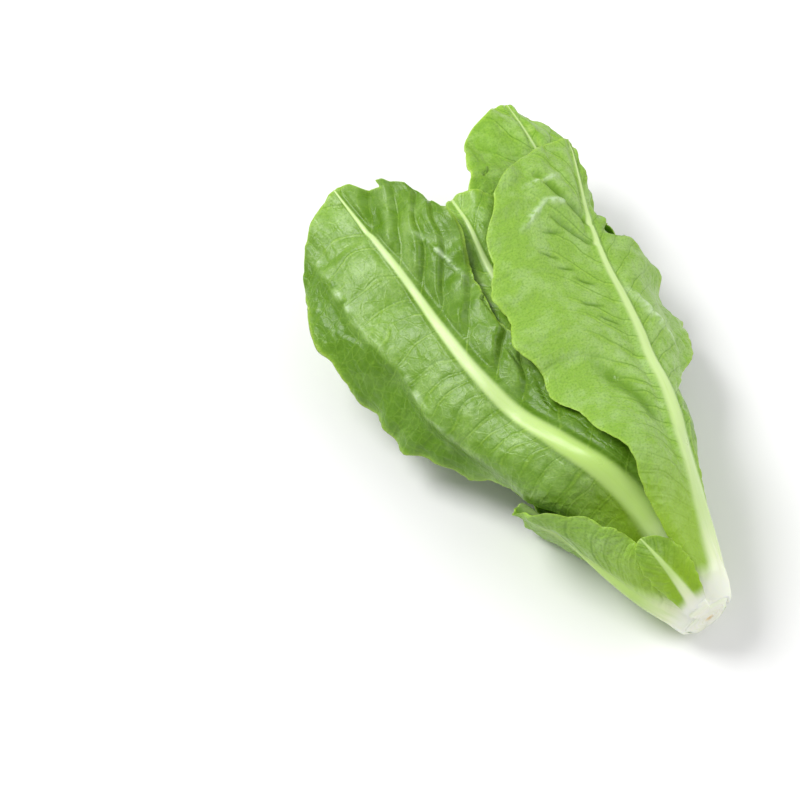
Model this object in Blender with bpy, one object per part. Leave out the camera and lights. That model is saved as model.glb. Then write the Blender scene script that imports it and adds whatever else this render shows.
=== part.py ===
"""A head of romaine lettuce lying on its back, cut end towards -Y and leaf tips towards +Y.

Thirteen leaves and one small basal leaf grow round a short stem at the golden angle, each one higher
up the stem and nearer the heart than the last. The head is worked out as it would stand, in rings
round the stem's axis: each leaf is a sheet r = r(angle, height), laid over everything inside it, from
the heart outwards, so no two leaves cross. The standing head is then laid down: it widens, flattens
and rests on its lowest ribs.
"""

import math

import bpy
import numpy as np

# The stem, whose cut face is the bottom of the head. Metres throughout.
STEM_RADIUS = 0.0118
STEM_LENGTH = 0.058
STEM_TIP_RADIUS = 0.0035
STEM_SIDES = 28

# How leaves follow one another round the stem, from the outermost inwards
FIRST_TURN = 190.0
GOLDEN_ANGLE = 137.5
FIRST_FOOT = 0.0012
FOOT_STEP = 0.0032

# Leaf flesh
BLADE_THICKNESS = 0.0011
RIB_THICKNESS = 0.0058
RIB_WIDTH = 0.0088
RIB_TIP_SHARE = 0.16

# Air left between one leaf and the next, at the stem and out in the blades
SNUG_GAP = 0.0007
LOOSE_GAP = 0.0023
STEM_GAP = 0.0003

# The lying head against the standing one: wider, lower above the axis and lower still below it
LAID_WIDTH = 1.10
LAID_RISE = 0.50
LAID_DEPTH = 0.42
LAID_FLATNESS = 0.72
ROUND_UNTIL = 0.020
LAID_FROM = 0.140
PRESSED = 0.0015
AXIS_LEVEL_FROM = 0.225

# The rings and heights that the standing head is worked out on
RING_STEP = 0.002
RING_TOP = 0.330
TURN_STEPS = 240

# How many turns and rings a leaf keeps its distance over, on the stem and out in the blades
CLOSE_REACH = (5, 3)
FAR_REACH = (9, 5)

# A rib's lean from the stem's axis along its length, in degrees, for a leaf of spread 1
LEAN_AT = (0.0, 0.10, 0.28, 0.45, 0.65, 0.85, 1.0)
LEAN_DEGREES = (28.0, 20.0, 13.0, 18.0, 20.0, 8.0, 0.0)

# How far along a leaf each value of its opening and of its sides stands
OPEN_AT = (0.0, 0.20, 0.32, 0.42, 0.56, 0.72, 1.0)
SIDES_AT = (0.0, 0.20, 0.36, 0.46, 0.58, 0.68, 0.76, 1.0)

# One row for each leaf, outermost first. nudge: degrees from the golden angle, swing: degrees that the
# tip drifts, sway: degrees that the middle drifts, open: how much flatter than its ring each half is
# (-, +), sides: how wide each half is (-, +), the same all along or at each of SIDES_AT, wave: height of
# the ruffles
LEAVES = (
    dict(name="basal_leaf", kind="outer_leaf", turn=118, foot=0.0016, length=0.039, half=0.012,
         spread=0.9, swing=8, open=(0.05, 0.05), wave=0.0006, waves=2, phase=0.1, curl=-6,
         foot_share=0.6, widest=0.5),
    dict(name="outer_leaf_left", kind="outer_leaf", nudge=-1, length=0.110, half=0.042, spread=1,
         swing=20, open=(0.02, 0.02), sides=(0.84, 1), wave=0.0016, waves=4, phase=0.2, curl=0,
         foot_share=0.52, widest=0.34, lean=(36, 35, 26, 16, 9, 4, 2)),
    dict(name="outer_leaf_right", kind="outer_leaf", nudge=-1, length=0.285, half=0.065, spread=1,
         swing=-15, sway=9, open=((0, -0.1, -0.1, 0.42, 0.38, 0.05, -0.45), 0.08),
         sides=((0.5, 0.36, 0.40, 0.78, 0.96, 0.72, 0.22, 0.14), 1.14), wave=0.0030, waves=4,
         phase=0.7, curl=0, foot_share=0.29, tip_share=0.62, arch=0.05,
         lean=(26, 20, 14, 17, 21, 18, 13)),
    dict(name="outer_leaf_back", kind="outer_leaf", nudge=0, length=0.270, half=0.064, spread=1,
         swing=0, open=(0.1, 0.1), wave=0.0040, waves=4.5, phase=0.4, curl=4),
    dict(name="front_leaf", kind="outer_leaf", nudge=-28, length=0.307, half=0.070, spread=1,
         swing=10, sway=4, open=(0.1, 0.18),
         sides=((0.68, 0.68, 0.60, 0.46, 0.38, 0.43, 0.59, 0.96), 1), wave=0.0036, waves=4, phase=0,
         curl=0, foot_share=0.31, widest=0.62, lean=(22, 15, 15, 25, 15, 5, 2)),
    dict(name="side_leaf_right", kind="outer_leaf", nudge=-12, length=0.235, half=0.050,
         spread=0.72, swing=-6, open=(0.05, 0.05), wave=0.0035, waves=4.5, phase=0.5, curl=0),
    dict(name="back_leaf_left", kind="outer_leaf", nudge=4, length=0.270, half=0.062, spread=0.9,
         swing=-8, open=(0.1, 0.1), wave=0.0040, waves=4.5, phase=0.9, curl=6),
    dict(name="middle_leaf_front", kind="middle_leaf", nudge=16, length=0.250, half=0.050,
         spread=0.8, swing=-13, open=(0.05, 0.05), wave=0.0030, waves=4, phase=0.3, curl=2),
    dict(name="back_leaf_right", kind="middle_leaf", nudge=4, length=0.258, half=0.056, spread=0.8,
         swing=6, open=(0.06, 0.06), wave=0.0035, waves=4.5, phase=0.6, curl=4),
    dict(name="middle_leaf_left", kind="middle_leaf", nudge=0, length=0.255, half=0.052,
         spread=0.72, swing=-6, open=(0.05, 0.05), wave=0.0035, waves=4.5, phase=0.1, curl=2),
    dict(name="tall_leaf", kind="middle_leaf", nudge=9, length=0.298, half=0.058, spread=1, swing=0,
         open=(0, 0.05), sides=(0.62, 1.05), wave=0.0030, waves=4, phase=0.8, curl=2,
         tip_share=0.56, arch=0.06),
    dict(name="heart_leaf_back", kind="heart_leaf", nudge=0, length=0.230, half=0.044, spread=0.5,
         swing=0, open=(0, 0), wave=0.0025, waves=4.5, phase=0.4, curl=0),
    dict(name="heart_leaf_front", kind="heart_leaf", nudge=0, length=0.200, half=0.036, spread=0.36,
         swing=0, open=(0, 0), wave=0.0020, waves=4, phase=0.7, curl=-4),
    dict(name="heart_leaf_inner", kind="heart_leaf", nudge=0, length=0.160, half=0.026, spread=0.2,
         swing=0, open=(0, 0), wave=0.0015, waves=4, phase=0.2, curl=-4),
)

# Blade outline: how much of its full half width a leaf has at its foot and at its tip
FOOT_SHARE = 0.24
TIP_SHARE = 0.42
WIDEST_AT = 0.66
GROWTH = 0.85
TIP_ARCH = 0.10
SCALLOPS = 8.0
SCALLOP_SHARE = 0.030

# Rows along a leaf and columns across it, which crowd towards the foot and the rib. The leaves named
# in FINE are drawn with more of both.
LEAF_ROWS = 16
ROW_CROWDING = 1.3
COLUMNS = (-1.0, -0.80, -0.50, -0.24, -0.08, 0.08, 0.24, 0.50, 0.80, 1.0)
FINE = ("outer_leaf_left", "outer_leaf_right", "front_leaf")
FINE_ROWS = 24
FINE_COLUMNS = (-1.0, -0.86, -0.62, -0.38, -0.19, -0.07, 0.07, 0.19, 0.38, 0.62, 0.86, 1.0)

COLOURS = {
    "stem": (0.86, 0.90, 0.72),
    "outer_leaf": (0.27, 0.47, 0.11),
    "middle_leaf": (0.36, 0.58, 0.15),
    "heart_leaf": (0.62, 0.74, 0.30),
}


def smooth_step(t):
    t = np.clip(t, 0.0, 1.0)
    return t * t * (3 - 2 * t)


def stem_radius(y):
    """The stem's radius: full at the cut, then a cone that rounds off at its growing tip."""
    taper = smooth_step(y / STEM_LENGTH)
    radius = STEM_RADIUS + (STEM_TIP_RADIUS - STEM_RADIUS) * taper
    return np.where(y <= STEM_LENGTH, radius, 0.0)


def laid(y):
    """How far the head has gone from round, at the stem, to laid flat, out in the blades."""
    return smooth_step((y - ROUND_UNTIL) / (LAID_FROM - ROUND_UNTIL))


def lay_down(angle, y):
    """Across and up, for one metre of radius: the standing ring becomes a wide, flat-bottomed one."""
    share = laid(y)
    wide = 1 + (LAID_WIDTH - 1) * share
    rise = 1 + (LAID_RISE - 1) * share
    depth = 1 + (LAID_DEPTH - 1) * share
    flatness = 1 + (LAID_FLATNESS - 1) * share
    sine = np.sin(angle)
    up = np.where(sine >= 0, rise * sine, -depth * np.abs(sine) ** flatness)
    return wide * np.cos(angle), up


def ring_heights():
    return np.arange(-0.004, RING_TOP, RING_STEP)


def ring_angles():
    return np.linspace(0, 2 * math.pi, TURN_STEPS, endpoint=False)


def spread_over(field, reach):
    """The highest value within a few turns and rings, then smoothed: never below the field itself."""
    out = field
    for combine in (np.max, np.mean):
        for axis, steps in ((1, reach[0]), (0, reach[1])):
            out = combine([shift(out, k, axis) for k in range(-steps, steps + 1)], axis=0)
    return out


def shift(field, steps, axis):
    """Rolls round the head for turns, and repeats the end ring for heights."""
    if axis == 1:
        return np.roll(field, steps, axis=1)
    rows = np.clip(np.arange(field.shape[0]) - steps, 0, field.shape[0] - 1)
    return field[rows]


def rib_curve(leaf):
    """Height and radius of the rib against the distance along it, from its foot on the stem."""
    along = np.linspace(0, leaf["length"], 240)
    u = along / leaf["length"]
    lean = np.interp(u, LEAN_AT, leaf.get("lean", LEAN_DEGREES)) * leaf["spread"]
    lean = lean + leaf["curl"] * smooth_step((u - 0.72) / 0.28)
    lean = np.radians(lean)
    step = along[1]
    height = leaf["foot"] + np.concatenate([[0], np.cumsum(np.cos(lean[:-1])) * step])
    radius = np.concatenate([[0], np.cumsum(np.sin(lean[:-1])) * step])
    return along, height, stem_radius(leaf["foot"]) + radius


def half_width(leaf, u):
    """Half the blade's width: a narrow foot, widest two thirds of the way up, and a rounded tip."""
    foot = leaf.get("foot_share", FOOT_SHARE)
    growing = foot + (1 - foot) * smooth_step(u / leaf.get("widest", WIDEST_AT)) ** GROWTH
    closing = 1 - (1 - leaf.get("tip_share", TIP_SHARE)) * np.clip(u, 0, 1) ** 7
    scallop = np.sin(2 * math.pi * (SCALLOPS * u + leaf["phase"])) * smooth_step(u / 0.3)
    return leaf["half"] * growing * closing * (1 + SCALLOP_SHARE * scallop)


def side_shares(leaf, u):
    """How wide the blade is on each side of the rib, against its half width, at each u."""
    sides = leaf.get("sides", (1.0, 1.0))
    return [np.interp(u, SIDES_AT, np.ones(len(SIDES_AT)) * side) for side in sides]


def thickness(leaf, across, u):
    """Blade flesh, with the rib standing out of its outer face and fading towards the tip."""
    size = leaf["half"] / 0.066
    fade = (1 - u) ** 0.8 * (1 - RIB_TIP_SHARE) + RIB_TIP_SHARE
    rib_width = RIB_WIDTH * (0.35 + 0.65 * size) * fade
    rib = (RIB_THICKNESS * (0.3 + 0.7 * size) * fade - BLADE_THICKNESS)
    return BLADE_THICKNESS + np.clip(rib, 0, None) * np.exp(-np.abs(across / rib_width) ** 2.6)


def leaf_sheet(leaf, outside):
    """Lays one leaf over everything inside it. Gives its rings: turn from the rib, distance across
    from the rib, and inner and outer radius, for each height; and adds the leaf to what is outside."""
    heights = ring_heights()
    angles = ring_angles()
    along, rib_height, rib_radius = rib_curve(leaf)
    q = np.interp(heights, rib_height, along)
    u = q / leaf["length"]
    present = (heights >= leaf["foot"]) & (heights <= rib_height[-1])
    free = np.interp(heights, rib_height, rib_radius)[:, None]
    drift = leaf["swing"] * u**1.5 + leaf.get("sway", 0) * np.sin(math.pi * u)
    rib_angle = np.radians(leaf["turn"] + drift)[:, None]
    turn = np.linspace(-math.pi, math.pi, TURN_STEPS + 1)[None, :]
    angle = rib_angle + turn
    wide, up = lay_down(angle, heights[:, None])
    scale = np.hypot(wide, up)

    near, far = spread_over(outside, CLOSE_REACH), spread_over(outside, FAR_REACH)
    below = near + (far - near) * smooth_step((heights - 0.035) / 0.075)[:, None]
    circle = 2 * math.pi
    resting = np.array([np.interp(a, angles, row, period=circle) for a, row in zip(angle, below)])
    looseness = smooth_step((q - 0.010) / 0.060)[:, None]
    resting = resting + (SNUG_GAP + (LOOSE_GAP - SNUG_GAP) * looseness) / scale

    minus, plus = side_shares(leaf, u)
    width = half_width(leaf, u)[:, None] * np.where(turn < 0, minus[:, None], plus[:, None])
    v = turn * free / width
    minus, plus = [np.interp(u, OPEN_AT, np.ones(len(OPEN_AT)) * side)[:, None] for side in leaf["open"]]
    opening = np.where(turn < 0, minus, plus) * smooth_step(u / 0.3)[:, None]
    ruffle = np.sin(circle * (leaf["waves"] * u[:, None] + leaf["phase"]) + 1.4 * np.sign(v))
    ruffle = ruffle * np.clip(np.abs(v), 0, 1.2) ** 2.2 * smooth_step((u[:, None] - 0.12) / 0.2)
    shaped = free * (1 + opening * np.clip(turn, -1.4, 1.4) ** 2) + leaf["wave"] * ruffle / scale
    softness = 0.0004 + 0.0030 * looseness
    lift = shaped - resting
    inner = resting + 0.5 * (lift + np.sqrt(lift**2 + softness**2)) - 0.5 * softness * (1 - looseness)

    x, z = wide * inner, up * inner
    step = np.hypot(np.diff(x, axis=1), np.diff(z, axis=1))
    across = np.concatenate([np.zeros((len(heights), 1)), np.cumsum(step, axis=1)], axis=1)
    across = across - across[:, TURN_STEPS // 2][:, None]
    outer = inner + thickness(leaf, across, u[:, None]) / scale

    covered = (np.abs(across) <= width * 1.02) & present[:, None]
    for k in np.flatnonzero(present):
        here = np.where(covered[k], outer[k], 0.0)[:-1]
        placed = np.interp(angles, np.mod(angle[k][:-1], circle), here, period=circle)
        outside[k] = np.maximum(outside[k], placed)
    return dict(turn=turn[0], angle=rib_angle[:, 0], across=across, inner=inner, outer=outer,
                rib_height=rib_height, along=along)


def leaf_points(leaf, sheet, rows, columns):
    """The leaf's points for its rows u and columns v: angle, height, and inner and outer radius."""
    heights = ring_heights()
    u = rows[:, None] * np.ones_like(columns)[None, :]
    v = columns[None, :] * np.ones_like(rows)[:, None]
    q = leaf["length"] * u * (1 - leaf.get("arch", TIP_ARCH) * v**2 * u**3)
    y = np.interp(q, sheet["along"], sheet["rib_height"])
    row_u = np.interp(heights, sheet["rib_height"], sheet["along"]) / leaf["length"]
    found = []
    sides = side_shares(leaf, row_u)
    for column in columns:
        reach = column * half_width(leaf, row_u) * sides[0 if column < 0 else 1]
        turn = np.array([np.interp(p, row, sheet["turn"]) for p, row in zip(reach, sheet["across"])])
        inner = np.array([np.interp(t, sheet["turn"], row) for t, row in zip(turn, sheet["inner"])])
        outer = np.array([np.interp(t, sheet["turn"], row) for t, row in zip(turn, sheet["outer"])])
        angle = turn + sheet["angle"]
        found.append([np.interp(y[:, len(found)], heights, values) for values in (angle, inner, outer)])
    angle, inner, outer = np.array(found).transpose(1, 2, 0)
    return angle, y, inner, outer


def axis_height(outside):
    """Height of the head's axis over the table, above which its lowest leaves hang."""
    heights = ring_heights()[:, None]
    up = lay_down(ring_angles()[None, :], heights)[1]
    depth = np.max(-up * outside, axis=1)
    depth = np.maximum(depth, stem_radius(0.0))[:, None]
    depth = spread_over(np.repeat(depth, 3, axis=1), (0, 4))[:, 0]
    level = np.interp(AXIS_LEVEL_FROM, heights[:, 0], depth)
    return np.where(heights[:, 0] > AXIS_LEVEL_FROM, np.maximum(depth, level), depth) - PRESSED


def place(angle, y, radius, axis):
    """Points of the laid head: flat where it presses on the table."""
    wide, up = lay_down(angle, y)
    z = up * radius + np.interp(y, ring_heights(), axis)
    return np.stack([wide * radius, y, np.maximum(z, 0.0)], axis=-1)


def both_faces(angle, y, inner, outer, axis):
    """A leaf's outer and inner face. Where its outer face is pressed flat, the blade keeps its flesh."""
    outside, inside = place(angle, y, outer, axis), place(angle, y, inner, axis)
    pressed = outside[..., 2] < BLADE_THICKNESS
    inside[..., 2] = np.where(pressed, np.maximum(inside[..., 2], 0.9 * BLADE_THICKNESS), inside[..., 2])
    return np.concatenate([outside.reshape(-1, 3), inside.reshape(-1, 3)])


def sheet_faces(rows, columns):
    """Triangles of a closed sheet: outer face, inner face with the same diagonals, and edge."""
    count = rows * columns
    grid = np.arange(count).reshape(rows, columns)
    a, b = grid[:-1, :-1].ravel(), grid[:-1, 1:].ravel()
    c, d = grid[1:, 1:].ravel(), grid[1:, :-1].ravel()
    outer = np.concatenate([np.stack([a, c, b], 1), np.stack([a, d, c], 1)])
    inner = outer[:, ::-1] + count
    rim = np.concatenate([grid[0, :-1], grid[:-1, -1], grid[-1, :0:-1], grid[:0:-1, 0]])
    after = np.roll(rim, -1)
    near = np.stack([rim, after, after + count], 1)
    far = np.stack([rim, after + count, rim + count], 1)
    return np.concatenate([outer, inner, near, far])


def material(name):
    made = bpy.data.materials.new(name)
    made.use_nodes = True
    shader = made.node_tree.nodes["Principled BSDF"]
    shader.inputs["Base Color"].default_value = (*COLOURS[name], 1.0)
    shader.inputs["Roughness"].default_value = 0.45
    shader.inputs["Metallic"].default_value = 0.0
    return made


def add_object(name, points, faces, finish):
    mesh = bpy.data.meshes.new(name)
    mesh.from_pydata(points.tolist(), [], faces.tolist())
    mesh.materials.append(finish)
    mesh.shade_smooth()
    mesh.set_sharp_from_angle(angle=math.radians(50))
    made = bpy.data.objects.new(name, mesh)
    bpy.context.scene.collection.objects.link(made)
    return made


def stem_mesh(axis):
    """A turned cone with a domed tip, its cut face flat."""
    y = STEM_LENGTH * np.array([0.0, 0.025, 0.10, 0.22, 0.38, 0.58, 0.78, 0.90, 0.97, 1.0])
    radius = stem_radius(y)
    radius[0] = STEM_RADIUS - 0.0012
    radius[-2:] *= (0.8, 0.45)
    angle = np.linspace(0, 2 * math.pi, STEM_SIDES, endpoint=False)
    points = place(angle[None, :], y[:, None] * np.ones(STEM_SIDES), radius[:, None], axis)
    centres = place(np.zeros(2), y[[0, -1]], np.zeros(2), axis)
    grid = np.arange(len(y) * STEM_SIDES).reshape(len(y), STEM_SIDES)
    a, b = grid[:-1], np.roll(grid, -1, axis=1)[:-1]
    c, d = np.roll(grid, -1, axis=1)[1:], grid[1:]
    halves = [np.stack([a, c, b], -1), np.stack([a, d, c], -1)]
    sides = np.concatenate([half.reshape(-1, 3) for half in halves])
    bottom, top = grid.size, grid.size + 1
    first, last = grid[0], grid[-1]
    cut = np.stack([np.full(STEM_SIDES, bottom), first, np.roll(first, -1)], 1)
    tip = np.stack([np.full(STEM_SIDES, top), np.roll(last, -1), last], 1)
    return np.concatenate([points.reshape(-1, 3), centres]), np.concatenate([sides, cut, tip])


def leaf_order():
    """The leaves from the outermost inwards, each with its turn and its foot on the stem."""
    leaves = []
    for n, row in enumerate(LEAVES):
        leaf = dict(row)
        leaf.setdefault("turn", FIRST_TURN - GOLDEN_ANGLE * (n - 1) + leaf.get("nudge", 0))
        leaf.setdefault("foot", FIRST_FOOT + FOOT_STEP * (n - 1))
        leaves.append(leaf)
    return leaves


def work_out():
    """The whole head: leaves, their sheets, the axis's height over the table, and each piece's mesh."""
    leaves = leaf_order()
    heights = ring_heights()
    outside = np.repeat((stem_radius(heights) + STEM_GAP - SNUG_GAP)[:, None], TURN_STEPS, axis=1)
    outside = np.clip(outside, 0.0012, None)
    sheets = {leaf["name"]: leaf_sheet(leaf, outside) for leaf in reversed(leaves)}
    axis = axis_height(outside)
    built = {"stem": (*stem_mesh(axis), "stem")}
    for leaf in leaves:
        fine = leaf["name"] in FINE
        rows = np.linspace(0, 1, (FINE_ROWS if fine else LEAF_ROWS) + 1) ** ROW_CROWDING
        columns = np.array(FINE_COLUMNS if fine else COLUMNS)
        angle, y, inner, outer = leaf_points(leaf, sheets[leaf["name"]], rows, columns)
        points = both_faces(angle, y, inner, outer, axis)
        built[leaf["name"]] = (points, sheet_faces(len(rows), len(columns)), leaf["kind"])
    everything = np.concatenate([points for points, _, _ in built.values()])
    middle = (everything.min(axis=0) + everything.max(axis=0)) / 2
    middle[2] = 0.0
    return leaves, sheets, axis, middle, built


def main():
    for old in list(bpy.data.objects):
        bpy.data.objects.remove(old, do_unlink=True)
    middle, built = work_out()[3:]
    finishes = {name: material(name) for name in COLOURS}
    for name, (points, faces, finish) in built.items():
        add_object(name, points - middle, faces, finishes[finish])


main()
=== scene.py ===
import math

import bpy
import numpy as np
from mathutils import Matrix, Vector


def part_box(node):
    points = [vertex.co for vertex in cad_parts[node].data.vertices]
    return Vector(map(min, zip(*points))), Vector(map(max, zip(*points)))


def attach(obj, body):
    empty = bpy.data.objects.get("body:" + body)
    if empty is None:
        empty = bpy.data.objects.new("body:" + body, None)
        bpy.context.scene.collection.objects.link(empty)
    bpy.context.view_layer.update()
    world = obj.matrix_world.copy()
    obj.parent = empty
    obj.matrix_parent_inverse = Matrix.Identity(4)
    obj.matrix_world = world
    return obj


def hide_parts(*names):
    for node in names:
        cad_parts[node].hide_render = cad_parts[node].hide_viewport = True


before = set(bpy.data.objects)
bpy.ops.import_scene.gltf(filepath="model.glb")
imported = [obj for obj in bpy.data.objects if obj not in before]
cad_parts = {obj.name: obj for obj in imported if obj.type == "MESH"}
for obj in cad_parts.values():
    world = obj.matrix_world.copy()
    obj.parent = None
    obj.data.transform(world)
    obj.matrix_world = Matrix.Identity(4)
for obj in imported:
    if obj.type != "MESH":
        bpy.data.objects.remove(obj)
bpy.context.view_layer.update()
circle = 2 * math.pi


# How the head stands round its stem's axis, and how it is laid down. Metres.
head = dict(
    stemRadius=0.0118, stemLength=0.058, stemTipRadius=0.0035, stemGap=0.0003,
    firstTurn=190.0, goldenAngle=137.5, firstFoot=0.0012, footStep=0.0032,
    bladeThickness=0.0011, ribThickness=0.0058, ribWidth=0.0088, ribTipShare=0.16,
    snugGap=0.0007, looseGap=0.0023,
    laidWidth=1.1, laidRise=0.5, laidDepth=0.42, laidFlatness=0.72,
    roundUntil=0.02, laidFrom=0.14, pressed=0.0015, axisLevelFrom=0.225,
    ringStep=0.001, ringTop=0.33, turnSteps=480, closeReach=(10, 6), farReach=(18, 10),
    leanAt=(0.0, 0.1, 0.28, 0.45, 0.65, 0.85, 1.0),
    openAt=(0.0, 0.2, 0.32, 0.42, 0.56, 0.72, 1.0),
    sidesAt=(0.0, 0.2, 0.36, 0.46, 0.58, 0.68, 0.76, 1.0),
    scallops=8.0, scallopShare=0.03,
)

# What every leaf has unless its own dictionary says otherwise. A pair is for the sides (-, +) of the rib,
# also where its two values are lists. Metres and degrees.
plainLeaf = dict(
    kind="outer_leaf", turn=None, foot=None, nudge=0, length=0.25, half=0.05, spread=1, swing=0, sway=0,
    open=(0, 0), sides=(1, 1), wave=0.003, waves=4, phase=0, curl=0, footShare=0.24, tipShare=0.42,
    widest=0.66, arch=0.1, lean=(28, 20, 13, 18, 20, 8, 0),
    rows=190, columns=96,               # how finely the surface is drawn
    veinSpacing=(0.0085, 0.019),        # between side veins near the foot and near the tip
    veinRise=0.9, veinBend=10,          # how steeply side veins leave the rib, and how they bend back
    pillow=0.0011, quilt=0.00025,       # height of the blade between side veins and within the net
    pleat=(0.0006, 0.0006),             # how far each half steps up at its side veins
    crease=None,                        # a long fold: side, distance from the rib, drop beyond it; paints a highlight along the fold and shade beyond it
    dents=(),                           # s, t, s, t of a line's ends, its depth (a ridge if < 0) and half width; paints shade in dents, a highlight on ridges
    swell=0.0016,                       # broad unevenness
    tone=0.5,                           # 0 deep green, 1 pale
    ribMask=0.85, ribLeast=0.0004,      # share of the rib's width with its colour, and its least half width
    ribFlare=1.0, footScale=1.0,        # how the painted rib widens at the foot, and how soon colours change
    footRound=(0.62, 0.005),            # share of its thickness at its cut foot, and where it is whole again
    limeRib=0.5, paintedShadeBelow=None,        # how lime the rib is, and painted shade on the - half towards the foot: from where, how much
    frill=0.0022, frillLength=0.021,    # ruffles of the margin
    tooth=0.0009, corner=0.045,         # small teeth and how round the tip's corners are
    tip=((-1, 0), (1, 0)),              # what is taken off the tip's edge, across it
    seed=1,
)


# What the surfaces of all leaves share. Metres.
surface = dict(
    keepClear=0.0003, leastRoom=0.0001,         # kept between a moved blade and its neighbours
    lowFoot=0.012, cutHeight=0.0007,            # feet lower than this are drawn down to the cut
    veinWidth=0.0011, veinHeight=0.0004,
    furrowDepth=0.0006, furrowWidth=0.0018,     # beside the rib
    thinBlade=0.0002, thinMargin=0.00035,       # taken off the thickness
)


def smoothStep(t):
    # three t squared less two t cubed, between 0 and 1
    t = np.clip(t, 0.0, 1.0)
    return t * t * (3 - 2 * t)


def softNoise(x, y, length, seed):
    # sum of seven plane waves of about this length, in fixed random directions, within -1 and 1
    draw = np.random.default_rng(seed)
    total = 0
    for angle, stretch, start in draw.random((7, 3)):
        k = circle / (length * (0.7 + 0.8 * stretch))
        total = total + np.sin(k * (x * math.cos(circle * angle) + y * math.sin(circle * angle)) + circle * start)
    return total / 4.2


def cells(x, y, seed):
    # distances to the nearest and next nearest of one random point in each unit square
    best = np.full(x.shape, 9.0)
    second = np.full(x.shape, 9.0)
    column, row = np.floor(x), np.floor(y)
    for i in (-1, 0, 1):
        for j in (-1, 0, 1):
            a, b = column + i, row + j
            throwX = np.mod(np.sin(a * 127.1 + b * 311.7 + seed) * 43758.5453, 1)
            throwY = np.mod(np.sin(a * 269.5 + b * 183.3 + seed) * 24634.6345, 1)
            d = np.hypot(a + 0.15 + 0.7 * throwX - x, b + 0.15 + 0.7 * throwY - y)
            second = np.minimum(second, np.maximum(best, d))
            best = np.minimum(best, d)
    return best, second


def blur(field, passes):
    # each value moves halfway to the mean of its neighbours, along both ways of the grid
    for _ in range(passes):
        for axis in (0, 1):
            padded = np.concatenate([field.take([0], axis), field, field.take([-1], axis)], axis)
            n = field.shape[axis]
            field = (padded.take(range(n), axis) + 2 * field + padded.take(range(2, n + 2), axis)) / 4
    return field


def lookUp(field, row, column, wraps=False):
    # value of a grid at fractional rows and columns, by cubic curves through four rows and columns
    found = 0
    r0, c0 = np.floor(row).astype(int), np.floor(column).astype(int)
    weights = []
    for t in (row - r0, column - c0):
        weights.append(((-t + 2 * t**2 - t**3) / 2, (2 - 5 * t**2 + 3 * t**3) / 2,
                        (t + 4 * t**2 - 3 * t**3) / 2, (t**3 - t**2) / 2))
    for i in range(4):
        rows = np.clip(r0 + i - 1, 0, field.shape[0] - 1)
        for j in range(4):
            columns = c0 + j - 1
            columns = columns % field.shape[1] if wraps else np.clip(columns, 0, field.shape[1] - 1)
            found = found + weights[0][i] * weights[1][j] * field[rows, columns]
    return found


ringHeights = np.arange(-0.004, head["ringTop"], head["ringStep"])
ringAngles = np.linspace(0, circle, head["turnSteps"], endpoint=False)


def stemRadiusAt(y):
    # full at the cut, then a cone that narrows by a smooth step
    taper = smoothStep(y / head["stemLength"])
    radius = head["stemRadius"] + (head["stemTipRadius"] - head["stemRadius"]) * taper
    return np.where(y <= head["stemLength"], radius, 0.0)


def layDown(angle, y):
    # across and up for one metre of radius: a round ring at the stem, wide and flat out in the blades
    share = smoothStep((y - head["roundUntil"]) / (head["laidFrom"] - head["roundUntil"]))
    wide, rise, depth, flatness = [1 + (head[k] - 1) * share
                                   for k in ("laidWidth", "laidRise", "laidDepth", "laidFlatness")]
    sine = np.sin(angle)
    return wide * np.cos(angle), np.where(sine >= 0, rise * sine, -depth * np.abs(sine) ** flatness)


def shift(field, steps, axis):
    # moved some steps round the turns, where it wraps, or along the rings, where it stops at the ends
    if axis == 1:
        return np.roll(field, steps, axis=1)
    return field[np.clip(np.arange(field.shape[0]) - steps, 0, field.shape[0] - 1)]


def spreadOver(field, reach):
    # the highest value within a few turns and rings, then the mean over the same reach
    out = field
    for combine in (np.maximum, np.add):
        for axis, steps in ((1, reach[0]), (0, reach[1])):
            total = shift(out, -steps, axis)
            for k in range(1 - steps, steps + 1):
                total = combine(total, shift(out, k, axis))
            out = total if combine is np.maximum else total / (2 * steps + 1)
    return out


def halfWidth(leaf, u):
    # grows from the foot by a smooth step, and closes towards the tip with the seventh power
    growing = leaf["footShare"] + (1 - leaf["footShare"]) * smoothStep(u / leaf["widest"]) ** 0.85
    closing = 1 - (1 - leaf["tipShare"]) * np.clip(u, 0, 1) ** 7
    scallop = np.sin(circle * (head["scallops"] * u + leaf["phase"])) * smoothStep(u / 0.3)
    return leaf["half"] * growing * closing * (1 + head["scallopShare"] * scallop)


def sideShares(leaf, u):
    # each half's width as a share of halfWidth, read off straight lines between the named places
    return [np.interp(u, head["sidesAt"], np.ones(8) * side) for side in leaf["sides"]]


def ribHalfWidth(leaf, u):
    # falls as (1 - u) ^ 0.8 from the foot to a share that is left at the tip, wider on wide leaves
    fade = (1 - u) ** 0.8 * (1 - head["ribTipShare"]) + head["ribTipShare"]
    return head["ribWidth"] * (0.35 + 0.65 * leaf["half"] / 0.066) * fade


def thickness(leaf, across, u):
    # the blade, and a rib on its outer face whose height falls off as exp(-(distance / width) ^ 2.6)
    fade = (1 - u) ** 0.8 * (1 - head["ribTipShare"]) + head["ribTipShare"]
    rib = head["ribThickness"] * (0.3 + 0.7 * leaf["half"] / 0.066) * fade - head["bladeThickness"]
    return head["bladeThickness"] + np.clip(rib, 0, None) * np.exp(-np.abs(across / ribHalfWidth(leaf, u)) ** 2.6)


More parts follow.
